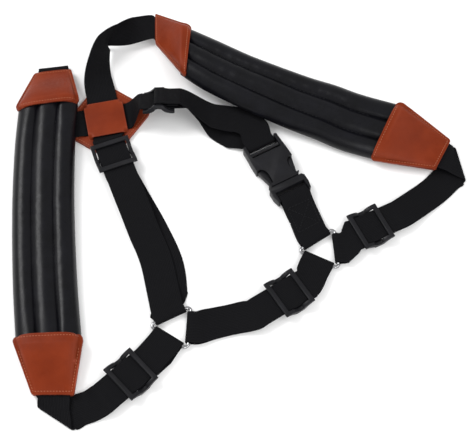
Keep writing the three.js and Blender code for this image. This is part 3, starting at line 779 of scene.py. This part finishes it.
def cap_surface(row, share, side):
    """(across, up) of a leaf's inner face: over the pad it is a crown whose edges come together."""
    half = row.wide
    on_pad = PAD_THICK / 2 + GAP
    on_web = WEB / 2 + GAP + 0.15
    near = on_pad + (on_web - on_pad) * float(smoothstep(row.part, 0.04, 0.95))
    closed_at = 1 - 1.2 * MARGIN / half
    bulge = max(1 - (abs(share) / closed_at) ** 4.5, 0) ** 0.5 if abs(share) < closed_at else 0
    low = 0.15 + GAP / 2
    return half * share, side * (low + (near - low) * bulge)


def cap_leaf(name, leaf, side, rows):
    """One leather leaf of a cap: side is 1 for the front and -1 for the back."""
    across = len(CAP_ACROSS)
    points = []
    for offset in (0, LEATHER):
        for i, row in enumerate(rows):
            for share in CAP_ACROSS:
                a, b = cap_surface(row, share, side)
                points.append(row.place(a, b + side * offset))
    rim = list(range(across))
    rim += [i * across + across - 1 for i in range(1, len(rows))]
    rim += [(len(rows) - 1) * across + j for j in range(across - 2, -1, -1)]
    rim += [i * across for i in range(len(rows) - 2, 0, -1)]
    faces = grid_faces(len(rows), across, rim)
    obj = make_object(f"{name}_{leaf}_leaf", points, faces, LEATHER_MATERIAL, 50)
    fix_normals(obj)
    round_edges(obj, CAP_EDGE, 50)
    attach(obj, ROOT)
    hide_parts(f"{name}_{leaf}")


def cap(tip):
    rows = cap_rows(tip)
    cap_leaf(f"cap_{tip}", "front", 1, rows)
    cap_leaf(f"cap_{tip}", "back", -1, rows)

    def on_leaf(row, share):
        a, b = cap_surface(row, share, 1)
        return row.place(a, b + LEATHER + 0.02), row.up

    def inset(row):
        return 1 - MARGIN / row.wide

    ends = rows[0].at, rows[-1].at
    inner = [r for r in rows if min(np.linalg.norm(r.at - end) for end in ends) > MARGIN]
    path = [on_leaf(row, -inset(row)) for row in inner]
    path += [on_leaf(inner[-1], s) for s in np.linspace(-inset(inner[-1]), inset(inner[-1]), 20)[1:-1]]
    path += [on_leaf(row, inset(row)) for row in reversed(inner)]
    path += [on_leaf(inner[0], s) for s in np.linspace(inset(inner[0]), -inset(inner[0]), 40)[1:]]
    stitches(f"cap_{tip}_stitching", path, ROOT, TAN_THREAD, length=LEATHER_STITCH,
             gap=LEATHER_STITCH_GAP)


for cap_name in CAP_TIPS:
    cap(cap_name)

# ---- back yoke ----
LEAF_TOP = FRONT_LOW + LEATHER
PANEL_LOW = YOKE_WEB_HIGH + WEB / 2 + GAP
PANEL_STEPS = 36
PANEL_FLAT = 14.5  # the panel comes down beyond this distance from its middle


def yoke_point(x, y, z):
    return x * flat(YOKE_TURN) + y * flat(YOKE_TURN + 90) + np.array([0, 0, z])


def panel_height(x, y):
    """Underside of the centre panel: down at its four sewn corners, arched over the webbing."""
    half = PANEL / 2
    corner = smoothstep(abs(x), PANEL_FLAT, half) * smoothstep(abs(y), PANEL_FLAT, half)
    low = LEAF_TOP - LEATHER + 0.08
    lifted = PANEL_LOW + 0.1
    dome = 0.35 * (1 - (x / half) ** 2) * (1 - (y / half) ** 2)
    return lifted + (low - lifted) * corner + dome


def yoke_leaf():
    """The front leaf: the CAD leaf without the panel and posts that stand on it."""
    mesh = frame["nodes"]["yoke_front"].data.copy()
    mesh.materials.clear()
    mesh.materials.append(LEATHER_MATERIAL)
    bm = bmesh.new()
    bm.from_mesh(mesh)
    bmesh.ops.remove_doubles(bm, verts=bm.verts, dist=1e-5)
    everything = bm.verts[:] + bm.edges[:] + bm.faces[:]
    cut = Vector((0, 0, (LEAF_TOP + 0.03) * MM))
    bmesh.ops.bisect_plane(bm, geom=everything, plane_co=cut, plane_no=(0, 0, 1), clear_outer=True)
    bmesh.ops.holes_fill(bm, edges=[e for e in bm.edges if e.is_boundary], sides=0)
    bmesh.ops.dissolve_limit(bm, angle_limit=math.radians(3), verts=bm.verts, edges=bm.edges)
    bm.to_mesh(mesh)
    bm.free()
    obj = bpy.data.objects.new("yoke_front_leaf", mesh)
    bpy.context.scene.collection.objects.link(obj)
    round_edges(obj, LEATHER_EDGE, 40)
    shade_smooth(obj, 35)
    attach(obj, ROOT)
    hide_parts("yoke_front")


def yoke_panel():
    """The raised centre panel, sewn down at its corners."""
    half, n = PANEL / 2, PANEL_STEPS
    steps = np.linspace(-half, half, n + 1)
    points = []
    for lift in (0, LEATHER):
        for x in steps:
            for y in steps:
                points.append(yoke_point(x, y, panel_height(x, y) + lift))
    wide = n + 1
    rim = [i * wide for i in range(wide)] + [n * wide + j for j in range(1, wide)]
    rim += [i * wide + n for i in range(n - 1, -1, -1)] + list(range(n - 1, 0, -1))
    obj = make_object("yoke_panel", points, grid_faces(wide, wide, rim), LEATHER_MATERIAL, 50)
    fix_normals(obj)
    round_edges(obj, LEATHER_EDGE, 50)
    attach(obj, ROOT)


def yoke_border():
    """Stitching round the yoke's rounded outline, which is turned 45 degrees to its webbing."""
    x, y, r = YOKE_SIDE_A / 2 - MARGIN, YOKE_SIDE_B / 2 - MARGIN, 7
    path = []
    corners = ((x - r, y - r, 0), (-x + r, y - r, 90), (-x + r, -y + r, 180), (x - r, -y + r, 270))
    for cx, cy, start in corners:
        for step in range(0, 91, 10):
            out = flat(start + step)
            px, py = cx + out[0] * r, cy + out[1] * r
            p = px * flat(YOKE_TURN + 45) + py * flat(YOKE_TURN + 135)
            p[2] = LEAF_TOP + 0.05
            path.append((p, np.array([0, 0, 1.0])))
    path.append(path[0])
    dense = []
    for (p, u), (q, _) in zip(path, path[1:]):
        dense += [(p + (q - p) * s, u) for s in np.linspace(0, 1, 12, endpoint=False)]
    stitches("yoke_stitching", dense + [path[0]], ROOT, TAN_THREAD, length=LEATHER_STITCH,
             gap=LEATHER_STITCH_GAP)


yoke_leaf()
yoke_panel()
yoke_border()
refined("yoke_back", LEATHER_MATERIAL, LEATHER_EDGE, segments=3)

# ---- adjusters and buckle ----
ADJUSTERS = {
    "back_left": {"at": (11, -45, SLIDER_Z + 3.6), "heading": -69},
    "back_right": {"at": (53.5, 11.5, 20), "heading": 2, "tilt": -26},
    "front_left": {"at": (37, -269.5, SLIDER_Z), "heading": 43},
    "front_right": {"at": (256, -122.5, SLIDER_Z), "heading": 206},
    "chest": {"at": (178, -191, SLIDER_Z), "heading": 33},
}
for adjuster in ADJUSTERS:
    refined(f"adjuster_{adjuster}", PLASTIC, ADJUSTER_EDGE, segments=3)
for buckle_piece in ("buckle_socket", "buckle_plug", "buckle_arm_left", "buckle_arm_right"):
    refined(buckle_piece, PLASTIC, BUCKLE_EDGE)


SOCKET_BAR_INSET = 2.2  # from the socket's far end to its webbing bar
PLUG_BAR_OUT = 13.9  # from the socket's mouth to the plug's webbing bar


def buckle_bar(x):
    return np.array(BUCKLE_MOUTH, float) + flat(BUCKLE_HEADING) * x


SOCKET_BAR = buckle_bar(-SOCKET_LENGTH + SOCKET_BAR_INSET)
PLUG_BAR = buckle_bar(PLUG_BAR_OUT)


# ---- webbing ----
def through_adjuster(name, runs, shift=0):
    """Stations where webbing runs straight through an adjuster."""
    where = ADJUSTERS[name]
    tilt = where.get("tilt", 0) * (-1 if shift else 1)
    stations = []
    for run in runs:
        p = np.array(where["at"], float) + flat(where["heading"]) * run
        stations.append((*p, where["heading"] + 90 + shift, {"tilt": tilt}))
    return stations


def from_cap(name, shift=0, past=1.1, swing=0):
    """Stations where webbing leaves a pad between the leaves of its cap."""
    side, end = name.split("_")
    line = PAD_LINES[side]
    start = line[0] if end == "upper" else line[-1]
    tip = CAP_TIPS[name]
    tilt = (start[4].get("tilt", 0) if len(start) > 4 else 0) * (-1 if shift else 1)
    stations = []
    for part in (0.1, 0.4, 0.7, 1, past):
        x, y, z, rib = (a + (b - a) * part for a, b in zip(start[:4], tip))
        rib += shift + (swing if part > 1 else 0)
        stations.append((x, y, z, rib, {"tilt": 0 if part > 1 else tilt * (1 - part), "wide": 1}))
    return stations


def yoke_run(turn, runs):
    """Stations (run, z, optional swing of the rib) along a webbing that crosses the yoke."""
    return [(*(flat(turn) * run)[:2], z, turn + 90 + sum(swing)) for run, z, *swing in runs]


def tipped_over(station):
    """The same station with its width direction written as a half turn of tilt."""
    x, y, z, rib, *options = station
    options = options[0] if options else {}
    return x, y, z, rib - 180, {**options, "tilt": -180 - options.get("tilt", 0)}


CENTRE_BAR = 1.9  # thickness of an adjuster's centre bar
SEWN_START, SEWN_END = 19, 21  # where the two layers of a sewn end stop, along the heading
SEWN_BAR = -WEB / 2 - GAP - WEB - GAP - CENTRE_BAR / 2  # height of the centre bar in an adjuster


def adjuster_axes(name):
    where = ADJUSTERS[name]
    x = flat(where["heading"])
    tilt = math.radians(where.get("tilt", 0))
    level = flat(where["heading"] + 90)
    y = level * math.cos(tilt) + np.array([0, 0, math.sin(tilt)])
    z = np.cross(x, y)
    if where.get("tilt"):
        y, z = -y, -z
    return x, y, z


def sewn_end(name):
    """The webbing end looped round the centre bar of an adjuster."""
    x, y, z = adjuster_axes(name)
    at = np.array(ADJUSTERS[name]["at"], float)
    off = CENTRE_BAR / 2 + GAP + WEB / 2
    tuck = LAYER / 2 + 0.1
    path = [(SEWN_START, tuck), (13, tuck), (9, tuck + 0.2), (4.5, off), (1, off), (-2, off)]
    path.append((-3.5, off * 0.7))
    path += [(-4.1, 0)] + [(SEWN_END if p == SEWN_START else p, -q) for p, q in reversed(path)]
    curve = catmull_rom([at + x * p + z * (SEWN_BAR + q) for p, q in path])
    count = (len(path) - 1) * ROWS
    rows = []
    for i in range(count + 1):
        t = i / count
        tangent = unit(curve(t + 1e-4) - curve(t - 1e-4))
        rows.append(Row(curve(t), y, unit(np.cross(tangent, y))))
    obj = sweep(f"sewn_end_{name}_loop", rows, webbing_outline, WEBBING, smooth=60)
    body = f"adjuster_{name}"
    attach(obj, body)
    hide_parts(f"sewn_end_{name}")
    return at + x * SEWN_START + z * (SEWN_BAR - tuck), x


def stitched_box(name, rows, start, end):
    """A box of stitching with a cross in it, on the webbing between the rows nearest two points."""
    along = np.r_[0, np.cumsum([np.linalg.norm(b.at - a.at) for a, b in zip(rows, rows[1:])])]

    def on(run, a):
        i = min(max(int(np.searchsorted(along, run)) - 1, 0), len(rows) - 2)
        share = (run - along[i]) / max(along[i + 1] - along[i], 1e-9)
        p = rows[i].place(a, WEB / 2) * (1 - share) + rows[i + 1].place(a, WEB / 2) * share
        return p, rows[i].up

    low, high = (along[int(np.argmin([np.linalg.norm(row.at - p) for row in rows]))] for p in (start, end))
    half = WEB_WIDTH / 2 - BOX_EDGE
    a, b, c, d = (low, -half), (high, -half), (high, half), (low, half)
    for k, (p, q) in enumerate(((a, b), (b, c), (c, d), (d, a), (a, c), (b, d))):
        path = [on(p[0] + (q[0] - p[0]) * s, p[1] + (q[1] - p[1]) * s) for s in np.linspace(0, 1, 24)]
        stitches(f"{name}_{k}", path, ROOT, BLACK_THREAD, length=BOX_STITCH, gap=BOX_STITCH_GAP)


back_left, back_left_rows = ribbon("webbing_back_left_tape", [
    *map(tipped_over, from_cap("right_upper", shift=180)),
    tipped_over((23, 104, 12, 268, {"tilt": -15})),
    tipped_over((2.5, 95, 16.5, 211, {"tilt": -58})),
    (-4.5, 84, 18, 22, {"tilt": -72}),
    (-9, 68, 14, 30, {"tilt": -47}),
    (-10, 48, 9.5, 24, {"tilt": -22}),
    *yoke_run(YOKE_TURN - 90, [(-32, 5.2), (-24, YOKE_WEB_HIGH), (-17, YOKE_WEB_HIGH),
                               (16, YOKE_WEB_HIGH), (20.5, YOKE_WEB_HIGH)]),
    *through_adjuster("back_left", [-20, -16, 0, 20, 41, 45]),
    (33.8, -103, 8, 24),
    (44, -128, 4, 21),
    (51.5, -145, HIGH, 19),
    (56.5, -160, HIGH, 16),
    (60.7, -178, HIGH, 14),
    (64.3, -194, 3.6, 20),
    *bar_turn(ring_bar(RING_LEFT, 120 + RING_LEFT["turn"]), 300 + RING_LEFT["turn"], RING_TURN, shift=-360),
    (69.5, -193, LOW, 24),
    (66, -160, LOW, 17),
    (50, -122, LOW, 26),
    (39, -101, LOW, 29),
])
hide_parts("webbing_back_left")

BACK_RIGHT_LOOP = [
    (98, 4, 9, 70, {"tilt": -22}),
    (113, -8, LOW + 0.8, 52),
    (128, -18, 1.8, 47),
    (142, -22.5, 3, 36),
    *bar_turn(SOCKET_BAR, BUCKLE_HEADING, BUCKLE_TURN, over=False),
    (146, -12, 8.4, 36),
    (136, -4, 7.6, 58),
    (122, -1, 7.4, 82),
    (108, 0.5, 9.5, 84, {"tilt": -6}),
]
back_right, back_right_rows = ribbon("webbing_back_right_tape", [
    *from_cap("left_upper", shift=180, past=1.04),
    *bar_turn((-56.5, 61.5, (CAP_TIP_Z + LOW) / 2), 98, (CAP_TIP_Z - LOW) / 2, lead=1.5),
    (-58.5, 35, LOW, 186),
    (-59.3, 12, LOW, 182),
    *slant_fold((-59.5, -13, LOW), -90, 141, 1),
    *yoke_run(YOKE_TURN, [(-48, 4.1, 24), (-40, 4.8, 9), (-31, 4.8), (-24.5, YOKE_WEB_HIGH),
                          (-15.5, YOKE_WEB_LOW), (-12, YOKE_WEB_LOW), (12, YOKE_WEB_LOW),
                          (15.5, YOKE_WEB_LOW), (24.5, YOKE_WEB_HIGH + 0.2)]),
    *through_adjuster("back_right", [-18.5, -16, 0, 24, 27.5]),
    *BACK_RIGHT_LOOP,
], body=None)
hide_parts("webbing_back_right")

front_left, front_left_rows = ribbon("webbing_front_left_tape", [
    *from_cap("left_lower", past=1.16, swing=-18),
    *slant_fold((-28, -306, LOW + FOLD), -86, -33, -1),
    (-7, -300, LOW, -66),
    (4, -296, 2, -60),
    *through_adjuster("front_left", [-31.5, -27, 0, 16, 19.5], -180),
    *bar_turn(ring_bar(RING_LEFT, 240 + RING_LEFT["turn"]), 60 + RING_LEFT["turn"], RING_TURN, shift=-180),
    (60, -247, LOW, -40),
])
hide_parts("webbing_front_left")

front_right, front_right_rows = ribbon("webbing_front_right_tape", [
    *from_cap("right_lower", swing=15),
    *slant_fold((346.5, -50, LOW + FOLD), -25, 100, -1),
    (334, -66, LOW, 136),
    (320, -80, LOW, 131),
    (303, -94, 3, 123),
    *through_adjuster("front_right", [-31.5, -27, 0, 16], -180),
    *bar_turn(ring_bar(RING_RIGHT, RING_RIGHT["turn"]), 180 + RING_RIGHT["turn"], RING_TURN, shift=-180),
    (233, -142, LOW, 97),
])
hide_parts("webbing_front_right")

chest, chest_rows = ribbon("webbing_chest_tape", [
    (128, -213.5, LOW, 106),
    (108, -219, LOW, 102),
    *bar_turn(ring_bar(RING_LEFT, RING_LEFT["turn"]), 180 + RING_LEFT["turn"], RING_TURN,
              over=False, shift=-180),
    (108, -219, HIGH + 0.6, 102),
    (128, -214.5, HIGH, 108),
    *through_adjuster("chest", [-37.5, -33, 0, 16, 19.5]),
    *bar_turn(ring_bar(RING_RIGHT, 240 + RING_RIGHT["turn"]), 60 + RING_RIGHT["turn"], RING_TURN),
    (199.3, -168.5, LOW, 148),
])
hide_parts("webbing_chest")

buckle_web, buckle_rows = ribbon("webbing_buckle_tape", [
    (194, -108.7, LOW, 25),
    (190, -99, 1.6, 26),
    *bar_turn(PLUG_BAR, BUCKLE_HEADING + 180, BUCKLE_TURN, over=False, shift=-180),
    (190, -99, 6, 26),
    (194.5, -110, 4.2, 26),
    *bar_turn(ring_bar(RING_RIGHT, 120 + RING_RIGHT["turn"]), 300 + RING_RIGHT["turn"], RING_TURN,
              shift=-360),
    (194.6, -110, LOW, 25),
])
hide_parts("webbing_buckle")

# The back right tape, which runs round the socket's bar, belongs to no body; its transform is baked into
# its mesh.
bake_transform(back_right)


def return_strap(name, tape_rows):
    """Webbing from the end of a tape back to the end that is sewn round its adjuster's bar."""
    tail, direction = sewn_end(name)
    _, y, _ = adjuster_axes(name)
    first = tape_rows[-1]
    end = tail + direction * (SEWN_END - SEWN_START)
    y = y if y @ first.across > 0 else -y
    rows = []
    for share in np.linspace(0, 1, 15):
        edge = first.across * first.wide * (1 - share) + y * share
        wide = np.linalg.norm(edge)
        ease = share * share * (3 - 2 * share)
        at = first.at + (end - first.at) * share
        at[2] = first.at[2] + (end[2] - first.at[2]) * ease
        rows.append(Row(at, edge / wide, unit(np.cross(end - first.at, edge)), wide))
    strap = sweep(f"return_{name}", rows, webbing_outline, WEBBING, smooth=60)
    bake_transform(strap)


for adjuster, tape_rows in (("back_left", back_left_rows), ("front_left", front_left_rows),
                            ("front_right", front_right_rows), ("chest", chest_rows),
                            ("back_right", back_right_rows)):
    return_strap(adjuster, tape_rows)

stitched_box("buckle_box", buckle_rows, (189, -97, 6), (200, -121, 3.5))

# ---- floor, light and camera ----
LOOK_AT = Vector((0.129975, -0.107384, 0))
CAMERA_DISTANCE = 1.1
CAMERA_ELEVATION = math.radians(61.5)


def stage_floor():
    half, n = 4.0, 8
    steps = np.linspace(-half, half, n + 1)
    points = [np.array([x, y, 0]) / MM for x in steps for y in steps]
    wide = n + 1
    faces = [
        (i * wide + j, (i + 1) * wide + j, (i + 1) * wide + j + 1, i * wide + j + 1)
        for i in range(n) for j in range(n)
    ]
    s = Shader("floor", Roughness=0.9, Specular_IOR_Level=0.1)
    tone = s.ramp(s.noise(s.place(), 2, 2), (0.3, 0.86), (0.7, 0.9))
    floor = make_object("floor", points, faces, s.set(Base_Color=tone))


def area_light(name, at, size, power):
    data = bpy.data.lights.new(name, "AREA")
    data.shape = "DISK"
    data.size = size
    data.energy = power
    light = bpy.data.objects.new(name, data)
    light.location = at
    light.rotation_euler = (LOOK_AT - Vector(at)).to_track_quat("-Z", "Y").to_euler()
    bpy.context.scene.collection.objects.link(light)


def camera():
    data = bpy.data.cameras.new("camera")
    data.lens = 87.9
    data.sensor_width = 36
    obj = bpy.data.objects.new("camera", data)
    back = CAMERA_DISTANCE * math.cos(CAMERA_ELEVATION)
    obj.location = LOOK_AT + Vector((0, -back, CAMERA_DISTANCE * math.sin(CAMERA_ELEVATION)))
    obj.rotation_euler = (LOOK_AT - obj.location).to_track_quat("-Z", "Y").to_euler()
    bpy.context.scene.collection.objects.link(obj)
    bpy.context.scene.camera = obj


stage_floor()
area_light("key", (-0.95, 0.5, 1.2), 0.9, 20)
area_light("fill", (1.1, -0.6, 1.2), 1.2, 9)
area_light("front", (0.2, -1.5, 0.8), 0.8, 8)
world = bpy.data.worlds.new("studio")
bpy.context.scene.world = world
world.use_nodes = True
world.node_tree.nodes["Background"].inputs["Color"].default_value = (1, 1, 1, 1)
world.node_tree.nodes["Background"].inputs["Strength"].default_value = 0.75
bpy.context.scene.view_settings.view_transform = "Standard"
camera()
